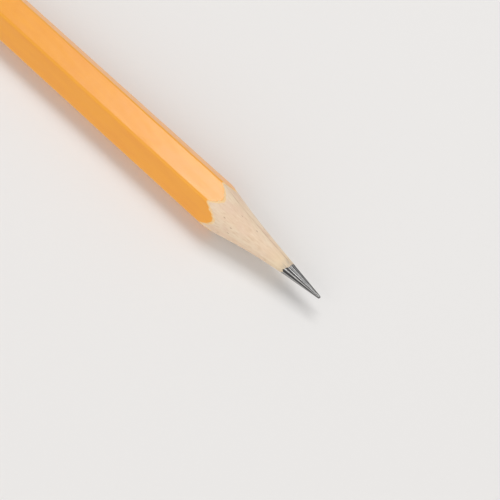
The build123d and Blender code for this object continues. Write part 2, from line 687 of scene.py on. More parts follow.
@dataclass
class SharedEffects:
    """The node groups that more than one finish uses."""

    line_detail: float = 3.0
    line_rough: float = 0.6
    deep_line: Ease = Ease(0.58, 0.72, 0.0, 1.0)
    deep_line_drop: float = 0.6
    patch_detail: float = 4.0
    patch_rough: float = 0.62
    patch_start: float = 0.72
    patch_cover_effect: float = 0.4
    patch_fade: float = 0.22
    scratches: bpy.types.NodeTree = field(init=False)
    handling: bpy.types.NodeTree = field(init=False)
    grit: bpy.types.NodeTree = field(init=False)

    def __post_init__(self) -> None:
        """Build each group once."""
        self.scratches = self.build_scratches()
        self.handling = self.build_handling()
        self.grit = self.build_grit()

    def build_scratches(self) -> bpy.types.NodeTree:
        """Fine lengthwise lines, such as drawing, sanding and rubbing leave.

        Returns:
            A group that puts out a height in millimetres and a mask of the deeper lines.
        """
        numbers = {"Spacing": 0.2, "Length": 8.0, "Depth": 0.002}
        sheet, given, result = new_group("fine_lengthwise_lines", numbers, ("Height", "Mask"))
        parts = sheet.split(given["Place"])
        along = sheet.math("DIVIDE", parts["X"], given["Length"])
        across = sheet.math("DIVIDE", parts["Y"], given["Spacing"])
        up = sheet.math("DIVIDE", parts["Z"], given["Spacing"])
        lines = sheet.noise(sheet.join(along, across, up), self.line_detail, self.line_rough)
        deep = sheet.ease(lines, self.deep_line)
        level = sheet.math("SUBTRACT", lines, sheet.math("MULTIPLY", deep, self.deep_line_drop))
        sheet.feed(result["Height"], sheet.math("MULTIPLY", level, given["Depth"]))
        sheet.feed(result["Mask"], deep)
        return sheet.tree

    def build_handling(self) -> bpy.types.NodeTree:
        """Soft, cloudy patches where fingers have dulled a surface.

        Returns:
            A group that puts out a mask.
        """
        numbers = {"Patch Size": 6.0, "Cover": 0.5}
        sheet, given, result = new_group("handling_marks", numbers, ("Mask",))
        place = sheet.shrink(given["Place"], given["Patch Size"])
        broad = sheet.noise(place, self.patch_detail, self.patch_rough)
        covered = sheet.math("MULTIPLY", given["Cover"], self.patch_cover_effect)
        start = sheet.math("SUBTRACT", self.patch_start, covered)
        stop = sheet.math("ADD", start, self.patch_fade)
        sheet.feed(result["Mask"], sheet.remap(broad, start, stop, 0.0, 1.0))
        return sheet.tree

    def build_grit(self) -> bpy.types.NodeTree:
        """Sparse specks of dust or of pores.

        Returns:
            A group that puts out a mask of the specks.
        """
        numbers = {"Spacing": 1.0, "Size": 0.1, "Cover": 0.3}
        sheet, given, result = new_group("sparse_specks", numbers, ("Mask",))
        cells = sheet.add("ShaderNodeTexVoronoi")
        sheet.feed(cells.inputs["Vector"], sheet.shrink(given["Place"], given["Spacing"]))
        cells.inputs["Scale"].default_value = 1.0
        half_size = sheet.math("MULTIPLY", given["Size"], 0.5)
        near = sheet.remap(cells.outputs["Distance"], half_size, given["Size"], 1.0, 0.0)
        chance = sheet.split(cells.outputs["Color"])["X"]
        kept = sheet.math("LESS_THAN", chance, given["Cover"])
        sheet.feed(result["Mask"], sheet.math("MULTIPLY", near, kept))
        return sheet.tree

    def lines(
        self, sheet: FinishSheet, shape: Lines, place: object = None
    ) -> bpy.types.bpy_prop_collection:
        """Place the lengthwise lines in a finish.

        Args:
            sheet: The finish's sheet.
            shape: The lines.
            place: Where they are read, which is the piece's own place if none is given.

        Returns:
            The outputs Height and Mask.
        """
        place = sheet.place if place is None else place
        sizes = {"Spacing": shape.spacing, "Length": shape.length, "Depth": shape.depth}
        return sheet.use(self.scratches, Place=place, **sizes)

    def specks(self, sheet: FinishSheet, shape: Specks, place: object = None) -> bpy.types.NodeSocket:
        """Place the specks in a finish.

        Args:
            sheet: The finish's sheet.
            shape: The specks.
            place: Where they are read, which is the piece's own place if none is given.

        Returns:
            Their mask.
        """
        place = sheet.place if place is None else place
        sizes = {"Spacing": shape.spacing, "Size": shape.size, "Cover": shape.cover}
        return sheet.use(self.grit, Place=place, **sizes)["Mask"]

    def patches(self, sheet: FinishSheet, shape: Patches) -> bpy.types.NodeSocket:
        """Place the handled patches in a finish, and give their mask."""
        placed = sheet.use(self.handling, Place=sheet.place, Patch_Size=shape.size, Cover=shape.cover)
        return placed["Mask"]


# ---------------------------------------------------------------- finishes


@dataclass(frozen=True)
class LacquerFinish:
    """Glossy yellow-orange pencil lacquer, with a painted highlight along the long edges, where the paint
    is also thinner, and a painted sheen on the cut face, where it is also feathered.
    """

    colour: Colour = (0.92, 0.368, 0.008, 1.0)
    deep_colour: Colour = (0.86, 0.315, 0.008, 1.0)
    # The lighter orange below is a painted highlight along the long edges, partly the thinner paint there.
    thin_paint_and_highlight_colour: Colour = (0.92, 0.43, 0.035, 1.0)
    # The pale colour below is a painted sheen on the cut face, partly the feathered paint over the
    # undercoat.
    feather_and_sheen_colour: Colour = (0.90, 0.60, 0.26, 1.0)
    speck_colour: Colour = (0.30, 0.14, 0.05, 1.0)
    drift: Cloud = Cloud((0.09, 0.5, 0.5), detail=5.0, rough=0.7)
    deep_share: Ease = Ease(0.38, 0.68, 0.0, 0.6)
    thin_paint_and_highlight_share: float = 0.55
    feather_and_sheen_share: float = 0.8
    dust: Specks = Specks(spacing=1.9, size=0.035, cover=0.10)
    dust_share: float = 0.5
    handled: Patches = Patches(size=7.0, cover=0.45)
    roughness: Ease = Ease(0.0, 1.0, 0.30, 0.42)
    rubbing: Lines = Lines(spacing=0.35, length=22.0, depth=0.0022)
    rubbed_roughness: float = 0.06
    peel: Cloud = Cloud((0.8, 1.3, 1.3), detail=1.5, rough=0.4)
    peel_height: float = 0.011
    coat_weight: float = 0.15
    coat_roughness: float = 0.14
    coat_ior: float = 1.5
    ior: float = 1.74

    def material(self, effects: SharedEffects) -> bpy.types.Material:
        """Build the finish.

        Args:
            effects: The shared node groups.

        Returns:
            The material.
        """
        sheet = FinishSheet("pencil_lacquer")
        deep = sheet.ease(sheet.cloud(self.drift), self.deep_share)
        colour = sheet.blend(deep, self.colour, self.deep_colour)
        # Painted highlight: the long edges are mixed towards a lighter orange in place of the gleam of
        # their rounding; partly the thinner paint there.
        thin = sheet.math("MULTIPLY", sheet.attribute("edge_mask"), self.thin_paint_and_highlight_share)
        colour = sheet.blend(thin, colour, self.thin_paint_and_highlight_colour)
        # Painted sheen: the cut face is mixed towards a pale colour in place of the reflection it misses;
        # partly the feathered paint.
        feather = sheet.math("MULTIPLY", sheet.attribute("cut_mask"), self.feather_and_sheen_share)
        colour = sheet.blend(feather, colour, self.feather_and_sheen_colour)
        dusty = sheet.math("MULTIPLY", effects.specks(sheet, self.dust), self.dust_share)
        colour = sheet.blend(dusty, colour, self.speck_colour)
        lines = effects.lines(sheet, self.rubbing)
        rough = sheet.ease(effects.patches(sheet, self.handled), self.roughness)
        rubbed = sheet.math("MULTIPLY", lines["Mask"], self.rubbed_roughness)
        peel = sheet.math("MULTIPLY", sheet.cloud(self.peel), self.peel_height)
        sheet.set(Base_Color=colour, Roughness=sheet.math("ADD", rough, rubbed))
        sheet.set(Coat_Weight=self.coat_weight, Coat_Roughness=self.coat_roughness)
        sheet.set(Coat_IOR=self.coat_ior, IOR=self.ior)
        sheet.relief(sheet.math("ADD", peel, lines["Height"]))
        return sheet.material


@dataclass(frozen=True)
class UndercoatFinish:
    """Matt sealer that shows as a hair line at the cut edge of the lacquer."""

    colour: Colour = (0.88, 0.60, 0.29, 1.0)
    chalky_colour: Colour = (0.88, 0.68, 0.43, 1.0)
    chalk: Cloud = Cloud((2.5, 2.5, 2.5), detail=3.0)
    chalk_share: Ease = Ease(0.4, 0.65, 0.0, 1.0)
    roughness: Ease = Ease(0.3, 0.7, 0.62, 0.8)
    brushing: Lines = Lines(spacing=0.12, length=2.0, depth=0.004)

    def material(self, effects: SharedEffects) -> bpy.types.Material:
        """Build the finish.

        Args:
            effects: The shared node groups.

        Returns:
            The material.
        """
        sheet = FinishSheet("pencil_undercoat")
        chalk = sheet.cloud(self.chalk)
        colour = sheet.blend(sheet.ease(chalk, self.chalk_share), self.colour, self.chalky_colour)
        sheet.set(Base_Color=colour, Roughness=sheet.ease(chalk, self.roughness))
        sheet.relief(effects.lines(sheet, self.brushing)["Height"])
        return sheet.material


@dataclass(frozen=True)
class WoodFinish:
    """Pale, straight-grained pencil wood, bared by the sharpener's blade."""

    name: str
    shift: Triple
    collar_x: float
    pale: Colour = (0.830, 0.670, 0.500, 1.0)
    warm: Colour = (0.790, 0.590, 0.430, 1.0)
    rosy: Colour = (0.790, 0.590, 0.450, 1.0)
    straw: Colour = (0.830, 0.680, 0.460, 1.0)
    dark_fibre: Colour = (0.700, 0.510, 0.345, 1.0)
    light_fibre: Colour = (0.870, 0.730, 0.570, 1.0)
    pore: Colour = (0.400, 0.240, 0.150, 1.0)
    smear: Colour = (0.300, 0.285, 0.260, 1.0)
    fibres: Cloud = Cloud((0.16, 4.2, 4.2), detail=4.0, rough=0.62)
    rings: Cloud = Cloud((0.03, 0.25, 1.1))
    flush: Cloud = Cloud((0.22, 0.5, 0.5))
    warm_share: Ease = Ease(0.38, 0.62, 0.0, 0.85)
    rosy_share: Ease = Ease(0.46, 0.68, 0.0, 0.8)
    dark_share: Ease = Ease(0.48, 0.72, 0.0, 0.75)
    light_share: Ease = Ease(0.30, 0.46, 0.5, 0.0)
    pore_stretch: Triple = (0.28, 1.0, 1.0)
    pores: Specks = Specks(spacing=0.46, size=0.20, cover=0.14)
    pore_share: float = 0.65
    pore_height: float = -0.012
    straw_share: Ease = Ease(0.5, 4.5, 0.6, 0.0)
    dust: Cloud = Cloud((0.5, 5.0, 5.0), detail=3.0)
    dust_reach: Ease = Ease(-0.3, 1.5, 0.75, 0.0)
    dust_share: Ease = Ease(0.38, 0.66, 0.25, 1.0)
    shaving: Lines = Lines(spacing=0.11, length=2.6, depth=0.010)
    roughness: Ease = Ease(0.3, 0.75, 0.58, 0.76)
    specular: float = 0.35

    def grain(self, sheet: FinishSheet, place: object) -> tuple[bpy.types.NodeSocket, bpy.types.NodeSocket]:
        """Wire the colours that grow in the wood.

        Args:
            sheet: The finish's sheet.
            place: Where this slat's pattern is read.

        Returns:
            The colour and the pattern of the fibres.
        """
        fibre = sheet.cloud(self.fibres, place)
        warm = sheet.ease(sheet.cloud(self.rings, place), self.warm_share)
        rosy = sheet.ease(sheet.cloud(self.flush, place), self.rosy_share)
        colour = sheet.blend(warm, self.pale, self.warm)
        colour = sheet.blend(rosy, colour, self.rosy)
        colour = sheet.blend(sheet.ease(fibre, self.dark_share), colour, self.dark_fibre)
        colour = sheet.blend(sheet.ease(fibre, self.light_share), colour, self.light_fibre)
        return colour, fibre

    def material(self, effects: SharedEffects) -> bpy.types.Material:
        """Build the finish.

        Args:
            effects: The shared node groups.

        Returns:
            The material.
        """
        sheet = FinishSheet(self.name)
        place = sheet.stretch(sheet.place, (1, 1, 1), self.shift)
        colour, fibre = self.grain(sheet, place)
        pores = effects.specks(sheet, self.pores, sheet.stretch(place, self.pore_stretch))
        colour = sheet.blend(sheet.math("MULTIPLY", pores, self.pore_share), colour, self.pore)
        behind = sheet.math("SUBTRACT", self.collar_x, sheet.split(sheet.place)["X"])
        colour = sheet.blend(sheet.ease(behind, self.straw_share), colour, self.straw)
        dust = sheet.ease(sheet.cloud(self.dust, place), self.dust_share)
        smeared = sheet.math("MULTIPLY", sheet.ease(behind, self.dust_reach), dust)
        colour = sheet.blend(smeared, colour, self.smear)
        sunk = sheet.math("MULTIPLY", pores, self.pore_height)
        shaved = effects.lines(sheet, self.shaving, place)["Height"]
        sheet.set(Base_Color=colour, Roughness=sheet.ease(fibre, self.roughness))
        sheet.set(Specular_IOR_Level=self.specular)
        sheet.relief(sheet.math("ADD", shaved, sunk))
        return sheet.material


@dataclass(frozen=True)
class GlueFinish:
    """Dried wood glue, a hair line between the two slats."""

    colour: Colour = (0.52, 0.36, 0.24, 1.0)
    pale_colour: Colour = (0.70, 0.53, 0.37, 1.0)
    bleed: Cloud = Cloud((0.8, 2.0, 2.0), detail=3.0)
    pale_share: Ease = Ease(0.35, 0.62, 0.0, 1.0)
    roughness: Ease = Ease(0.3, 0.7, 0.45, 0.65)
    shaving: Lines = Lines(spacing=0.05, length=1.2, depth=0.004)

    def material(self, effects: SharedEffects) -> bpy.types.Material:
        """Build the finish.

        Args:
            effects: The shared node groups.

        Returns:
            The material.
        """
        sheet = FinishSheet("pencil_glue")
        bleed = sheet.cloud(self.bleed)
        colour = sheet.blend(sheet.ease(bleed, self.pale_share), self.colour, self.pale_colour)
        sheet.set(Base_Color=colour, Roughness=sheet.ease(bleed, self.roughness))
        sheet.relief(effects.lines(sheet, self.shaving)["Height"])
        return sheet.material


@dataclass(frozen=True)
class GraphiteFinish:
    """Fired graphite and clay, burnished along its length by the blade; each flute has a painted reflection
    on one bank and painted dark on the other.
    """

    # The near-white colour is a painted reflection on one bank of each flute; the near-black one is painted
    # dark, below graphite's own grey.
    bright: Colour = (0.74, 0.74, 0.74, 1.0)
    dull: Colour = (0.042, 0.042, 0.043, 1.0)
    streaks: Cloud = Cloud((26.0, 26.0, 0.35), detail=3.0, rough=0.6)
    streak_share: Ease = Ease(0.40, 0.70, 1.0, 0.45)
    streak_height: float = 0.010
    mottle: Cloud = Cloud((3.0, 3.0, 3.0), detail=4.0, rough=0.6)
    mottle_share: Ease = Ease(0.30, 0.62, 0.62, 1.0)
    pits: Specks = Specks(spacing=0.22, size=0.2, cover=0.25)
    pit_share: float = 0.35
    pit_height: float = -0.006
    roughness: Ease = Ease(0.3, 0.7, 0.26, 0.42)
    metallic: Ease = Ease(0.0, 1.0, 0.30, 1.0)
    specular: float = 0.4
    relief: float = 0.7

    def material(self, effects: SharedEffects) -> bpy.types.Material:
        """Build the finish.

        Args:
            effects: The shared node groups.

        Returns:
            The material.
        """
        sheet = FinishSheet("pencil_graphite")
        streaks = sheet.cloud(self.streaks, sheet.attribute("spoke", "Vector"))
        mottle = sheet.cloud(self.mottle)
        # Painted reflection and shade: each flute is mixed from near-black to near-white, and made more
        # metallic, by the stored sheen level.
        painted_sheen_level = sheet.math("MULTIPLY", sheet.attribute("burnish_and_painted_sheen"), sheet.ease(mottle, self.mottle_share))
        painted_sheen_level = sheet.math("MULTIPLY", painted_sheen_level, sheet.ease(streaks, self.streak_share))
        colour = sheet.blend(painted_sheen_level, self.dull, self.bright)
        pits = effects.specks(sheet, self.pits)
        colour = sheet.blend(sheet.math("MULTIPLY", pits, self.pit_share), colour, self.dull)
        lines = sheet.math("MULTIPLY", streaks, self.streak_height)
        sunk = sheet.math("MULTIPLY", pits, self.pit_height)
        sheet.set(Base_Color=colour, Roughness=sheet.ease(mottle, self.roughness))
        sheet.set(Metallic=sheet.ease(painted_sheen_level, self.metallic), Specular_IOR_Level=self.specular)
        sheet.relief(sheet.math("ADD", lines, sunk), self.relief)
        return sheet.material


@dataclass(frozen=True)
class AluminiumFinish:
    """Thin rolled aluminium, bright on its ribs and dull in its grooves."""

    colour: Colour = (0.80, 0.79, 0.77, 1.0)
    groove_colour: Colour = (0.36, 0.35, 0.33, 1.0)
    # The cloud below only varies how much darker the pressed-in grooves are.
    groove_cloud: Cloud = Cloud((1.2, 1.2, 1.2), detail=4.0, rough=0.6)
    groove_cloud_share: Ease = Ease(0.3, 0.6, 0.6, 1.0)
    groove_share: Ease = Ease(0.02, 0.14, 0.0, 0.75)
    groove_roughness: float = 0.15
    handled: Patches = Patches(size=2.4, cover=0.6)
    roughness: Ease = Ease(0.0, 1.0, 0.24, 0.40)
    rolling: Cloud = Cloud((9.0, 0.35, 0.35), detail=3.0, rough=0.6)
    rolling_height: float = 0.003
    drawing: Lines = Lines(spacing=0.25, length=1.6, depth=0.003)

    def material(self, effects: SharedEffects) -> bpy.types.Material:
        """Build the finish.

        Args:
            effects: The shared node groups.

        Returns:
            The material.
        """
        sheet = FinishSheet("pencil_aluminium")
        # Darker and rougher where the wall is pressed in, by an amount that varies in patches.
        groove = sheet.ease(sheet.attribute("hollow"), self.groove_share)
        sunk = sheet.math("MULTIPLY", groove, sheet.ease(sheet.cloud(self.groove_cloud), self.groove_cloud_share))
        colour = sheet.blend(sunk, self.colour, self.groove_colour)
        rough = sheet.ease(effects.patches(sheet, self.handled), self.roughness)
        rough = sheet.math("ADD", rough, sheet.math("MULTIPLY", sunk, self.groove_roughness))
        rolled = sheet.math("MULTIPLY", sheet.cloud(self.rolling), self.rolling_height)
        sheet.set(Base_Color=colour, Roughness=rough, Metallic=1.0)
        sheet.relief(sheet.math("ADD", rolled, effects.lines(sheet, self.drawing)["Height"]))
        return sheet.material


@dataclass(frozen=True)
class RubberFinish:
    """Pink eraser rubber with a chalky bloom and a few specks of graphite dust."""

    end_x: float
    colour: Colour = (0.70, 0.215, 0.190, 1.0)
    bloom: Colour = (0.76, 0.31, 0.275, 1.0)
    dust: Colour = (0.20, 0.13, 0.13, 1.0)
    clouds: Cloud = Cloud((0.9, 0.9, 0.9), detail=4.0, rough=0.6)
    cloud_share: Ease = Ease(0.38, 0.68, 0.0, 0.8)
    grain: Cloud = Cloud((9.0, 9.0, 9.0), detail=4.0, rough=0.7)
    grain_share: Ease = Ease(0.55, 0.8, 0.0, 0.5)
    grain_height: float = 0.03
    specks: Specks = Specks(spacing=0.7, size=0.09, cover=0.22)
    dust_share: Ease = Ease(0.0, 2.2, 0.75, 0.15)
    handled: Patches = Patches(size=2.0, cover=0.4)
    roughness: Ease = Ease(0.0, 1.0, 0.88, 0.70)
    specular: float = 0.3

    def material(self, effects: SharedEffects) -> bpy.types.Material:
        """Build the finish.

        Args:
            effects: The shared node groups.

        Returns:
            The material.
        """
        sheet = FinishSheet("pencil_eraser_rubber")
        grain = sheet.cloud(self.grain)
        clouds = sheet.ease(sheet.cloud(self.clouds), self.cloud_share)
        colour = sheet.blend(clouds, self.colour, self.bloom)
        colour = sheet.blend(sheet.ease(grain, self.grain_share), colour, self.bloom)
        from_end = sheet.math("SUBTRACT", sheet.split(sheet.place)["X"], self.end_x)
        near_end = sheet.ease(from_end, self.dust_share)
        dusty = sheet.math("MULTIPLY", effects.specks(sheet, self.specks), near_end)
        colour = sheet.blend(dusty, colour, self.dust)
        rough = sheet.ease(effects.patches(sheet, self.handled), self.roughness)
        sheet.set(Base_Color=colour, Roughness=rough, Specular_IOR_Level=self.specular)
        sheet.relief(sheet.math("MULTIPLY", grain, self.grain_height))
        return sheet.material


@dataclass(frozen=True)
class FloorFinish:
    """Plain pale studio paper."""

    colour: Colour = (0.82, 0.815, 0.815, 1.0)
    tooth: Cloud = Cloud((1.6, 1.6, 1.6), detail=3.0)
    tooth_height: float = 0.01
    roughness: Ease = Ease(0.3, 0.7, 0.82, 0.9)

    def material(self) -> bpy.types.Material:
        """Build the finish.

        Returns:
            The material.
        """
        sheet = FinishSheet("studio_paper")
        tooth = sheet.cloud(self.tooth)
        sheet.set(Base_Color=self.colour, Roughness=sheet.ease(tooth, self.roughness))
        sheet.relief(sheet.math("MULTIPLY", tooth, self.tooth_height))
        return sheet.material


# ---------------------------------------------------------------- the sharpened end


@dataclass(frozen=True)
class Nick:
    """A small chip in the rim of the paint."""

    angle_deg: float
    width_deg: float
    depth: float

    def at(self, angle: np.ndarray) -> np.ndarray:
        """How far back the chip sets the rim at each angle."""
        apart = (angle - math.radians(self.angle_deg) + math.pi) % TURN - math.pi
        return self.depth * np.exp(-((apart / math.radians(self.width_deg)) ** 2))


@dataclass(frozen=True)
class SharpenedCone:
    """The hollow cone that the sharpener cut through wood and paint.

    The collar is the uneven edge of the wood on the lead, and the rim is the cut edge of
    the paint.  Each leans a little to one side, wanders around the pencil and is jagged.
    """

    sizes: PencilSizes
    start_angle_deg: float = 7.4
    hollow_radius: float = 134.0
    collar_slant: float = 0.48
    collar_slant_deg: float = 40.0
    rim_slant: float = 0.80
    rim_slant_deg: float = 188.0
    rim_setback: float = 0.42
    collar_wander: Ripple = Ripple(seed=11, amount=0.12, most_around=4, shortest=ENDLESS)
    collar_jag: Ripple = Ripple(seed=12, amount=0.085, most_around=17, shortest=ENDLESS)
    rim_wander: Ripple = Ripple(seed=23, amount=0.10, most_around=11, shortest=ENDLESS)
    rim_jag: Ripple = Ripple(seed=24, amount=0.045, most_around=48, shortest=ENDLESS, waves=24)

    def nominal_x(self, radius: np.ndarray) -> np.ndarray:
        """Where the smooth cone has a radius.

        Args:
            radius: Distances from the axis.

        Returns:
            Places along the pencil.
        """
        start = math.radians(self.start_angle_deg)
        angle = np.arccos(math.cos(start) - (radius - self.sizes.core_radius) / self.hollow_radius)
        return self.sizes.collar_x - self.hollow_radius * (np.sin(angle) - math.sin(start))

    def collar_shift(self, angle: np.ndarray) -> np.ndarray:
        """How far the uneven edge of the wood wanders along the lead."""
        slant = self.collar_slant * np.cos(angle - math.radians(self.collar_slant_deg))
        return slant + self.collar_wander.at(np.zeros(1), angle) + self.collar_jag.at(np.zeros(1), angle)

    def rim_shift(self, angle: np.ndarray) -> np.ndarray:
        """How far the cut edge of the paint wanders along the pencil."""
        slant = self.rim_slant * np.cos(angle - math.radians(self.rim_slant_deg)) - self.rim_setback
        return slant + self.rim_wander.at(np.zeros(1), angle) + self.rim_jag.at(np.zeros(1), angle)

    def surface_x(self, radius: np.ndarray, angle: np.ndarray) -> np.ndarray:
        """Where the cut surface has a radius, at each angle.

        Args:
            radius: Distances from the axis.
            angle: Angles around it.

        Returns:
            Places along the pencil.
        """
        reach = self.sizes.flat_radius - self.sizes.core_radius
        share = smooth_step((radius - self.sizes.core_radius) / reach)
        drift = self.collar_shift(angle) * (1 - share) + self.rim_shift(angle) * share
        return self.nominal_x(radius) + drift


@dataclass(frozen=True)
class GripMarks:
    """The rings and crimps that the ferrule presses into what it holds."""

    sizes: PencilSizes
    ring_depth: float = 0.14
    ring_reach: float = 0.42
    ring_edge_distance: float = 1.3
    ring_pitch: float = 3.6
    crimp_count: int = 6
    crimp_depth: float = 0.25
    crimp_reach: float = 0.68

    def depth(self, x: np.ndarray, angle: np.ndarray) -> np.ndarray:
        """How deep the marks are.

        Args:
            x: Places along the pencil.
            angle: Angles around it.

        Returns:
            Depths, zero away from the marks.
        """
        length = self.sizes.shoulder_x - self.sizes.ferrule_rear_x
        middle = (self.sizes.shoulder_x + self.sizes.ferrule_rear_x) / 2
        from_end = length / 2 - np.abs(x - middle)
        total = np.zeros(np.broadcast(x, angle).shape)
        for place in (self.ring_edge_distance, self.ring_edge_distance + self.ring_pitch):
            away = np.abs(from_end - place)
            total = total + self.ring_depth * (1 - smooth_step(away / self.ring_reach))
        step = TURN / self.crimp_count
        turned = (angle + step / 2) % step - step / 2
        along = x - (self.sizes.shoulder_x - self.ring_edge_distance - self.ring_pitch / 2)
        away = np.hypot(along, turned * self.sizes.ferrule_radius)
        return total + self.crimp_depth * (1 - smooth_step(away / self.crimp_reach))


@dataclass
class LeadCore:
    """The lead: a plain rod inside the wood, and a fluted, blunt point outside it."""

    sizes: PencilSizes
    cone: SharpenedCone
    finish: GraphiteFinish
    blunt_radius: float = 0.25
    seed: int = 21
    flute_count: int = 13
    flute_depth: float = 0.050
    flute_widths: tuple[float, float] = (0.45, 1.6)
    flute_depths: tuple[float, float] = (0.5, 1.0)
    flute_run_in: float = 0.05
    flute_loss_at_tip: float = 0.35
    # Where each flute's painted reflection starts, how strong it is and how soft its sides are.
    sheen_bank: tuple[float, float] = (-0.55, 0.35)
    painted_sheen_level: tuple[float, float] = (0.35, 1.0)
    bank_fade: float = 0.22
    ridge_fade: float = 0.16
    columns: int = 240
    rows: int = 64
    cap_rows: int = 10
    rod_row_count: int = 3

    def find_flute(self, angle: np.ndarray) -> tuple[np.ndarray, np.ndarray, np.ndarray]:
        """Which of the uneven flutes an angle is in, and where.

        Args:
            angle: Angles around the axis.

        Returns:
            The flute's number, its width against the widest, and the place across it
            from -1 to 1.
        """
        chance = np.random.default_rng(self.seed)
        widths = chance.uniform(*self.flute_widths, self.flute_count)
        ridges = np.concatenate([[0.0], np.cumsum(widths)]) / widths.sum() * TURN
        turned = angle % TURN
        which = np.clip(np.searchsorted(ridges, turned, side="right") - 1, 0, self.flute_count - 1)
        middle = (ridges[which] + ridges[which + 1]) / 2
        half = (ridges[which + 1] - ridges[which]) / 2
        return which, (widths / widths.max())[which], (turned - middle) / half

    def flutes(self, angle: np.ndarray) -> np.ndarray:
        """How deep the flutes are.

        Args:
            angle: Angles around the axis.

        Returns:
            Depths as shares of the radius, from 0 on a ridge.
        """
        which, width, across = self.find_flute(angle)
        chance = np.random.default_rng(self.seed + 1)
        uneven = chance.uniform(*self.flute_depths, self.flute_count)
        return self.flute_depth * uneven[which] * np.sqrt(width) * (1 - across**2)

    def burnish_and_painted_sheen(self, angle: np.ndarray) -> np.ndarray:
        """How bright each flute is painted: one bank gets a painted reflection and the other painted dark,
        in place of the light the flute's curve catches; partly the blade's real burnish.

        Args:
            angle: Angles around the axis.

        Returns:
            The brightness, from 0 to 1.
        """
        which, _, across = self.find_flute(angle)
        chance = np.random.default_rng(self.seed + 2)
        bank = chance.uniform(*self.sheen_bank, self.flute_count)[which]
        painted_sheen_level = chance.uniform(*self.painted_sheen_level, self.flute_count)[which]
        painted_sheen_level = painted_sheen_level * smooth_step((across - bank) / self.bank_fade)
        return painted_sheen_level * smooth_step((1.0 - across) / self.ridge_fade)

    def build(self) -> bpy.types.Object:
        """Make the lead.

        Returns:
            The piece, with the attributes that its finish follows.
        """
        sizes = self.sizes
        angle = np.linspace(0, TURN, self.columns, endpoint=False)[None, :]
        to_centre = sizes.tip_x - self.blunt_radius - sizes.collar_x
        sight = math.atan2(sizes.core_radius, to_centre)
        slope = sight - math.asin(self.blunt_radius / math.hypot(sizes.core_radius, to_centre))
        centre_x = sizes.tip_x - self.blunt_radius
        join_x = centre_x + self.blunt_radius * math.sin(slope)
        join_radius = self.blunt_radius * math.cos(slope)
        collar = sizes.collar_x + self.cone.collar_shift(angle)
        share = np.linspace(0, 1, self.rows)[:, None]
        x = collar + (join_x - collar) * share
        radius = sizes.core_radius + (join_radius - sizes.core_radius) * share
        taper = smooth_step(share / self.flute_run_in) * (1 - self.flute_loss_at_tip * share)
        radius = radius * (1 - self.flutes(angle) * taper)
        sweep = np.linspace(slope, math.pi / 2, self.cap_rows)[1:, None]
        cap_x = centre_x + self.blunt_radius * np.sin(sweep) + 0 * angle
        fade = np.cos(sweep) / math.cos(slope)
        cap_flutes = (1 - self.flute_loss_at_tip) * self.flutes(angle) * fade
        cap_radius = self.blunt_radius * np.cos(sweep) * (1 - cap_flutes)
        rod = np.linspace(0, 1, self.rod_row_count)[:-1, None]
        rod_x = sizes.tenon_end_x + (collar - sizes.tenon_end_x) * rod
        rod_radius = np.full_like(rod_x, sizes.core_radius)
        end_x = np.full((1, self.columns), sizes.tenon_end_x)
        all_x = np.concatenate([end_x, rod_x, x, cap_x])
        all_radius = np.concatenate([np.zeros((1, self.columns)), rod_radius, radius, cap_radius])
        sheet = MeshSheet()
        sheet.add_grid(around_axis(all_x, all_radius, angle, sizes.axis_height), wrap_columns=True)
        piece = sheet.piece("lead_core", crease_deg=28.0)
        self.add_spokes(piece)
        return piece

    def add_spokes(self, piece: bpy.types.Object) -> None:
        """Store what the finish follows: a direction around, a place along, and each flute's burnished,
        partly painted sheen.

        Args:
            piece: The lead.
        """
        x, _, angle = vertex_places(piece, self.sizes.axis_height)
        layer = piece.data.attributes.new("spoke", "FLOAT_VECTOR", "POINT")
        values = np.stack([np.cos(angle), np.sin(angle), self.sizes.tip_x - x], axis=1)
        layer.data.foreach_set("vector", values.astype(np.float32).ravel())
        # This level paints a reflection on one bank of each flute and dark on the other.
        paint_attribute(piece, "burnish_and_painted_sheen", self.burnish_and_painted_sheen(angle))

    def assemble(self, effects: SharedEffects) -> None:
        """Build the lead, dress it and seat it on the frame."""
        seat(self.build(), self.finish.material(effects), "graphite", "graphite_core")


class SlatSide(Enum):
    """The two halves of the wood casing, by the node that each stands for."""

    FRONT = "front_slat"
    BACK = "back_slat"


class GlueSide(Enum):
    """The two glue lines, by the node that each stands for."""

    UPPER = "upper_glue_line"
    LOWER = "lower_glue_line"


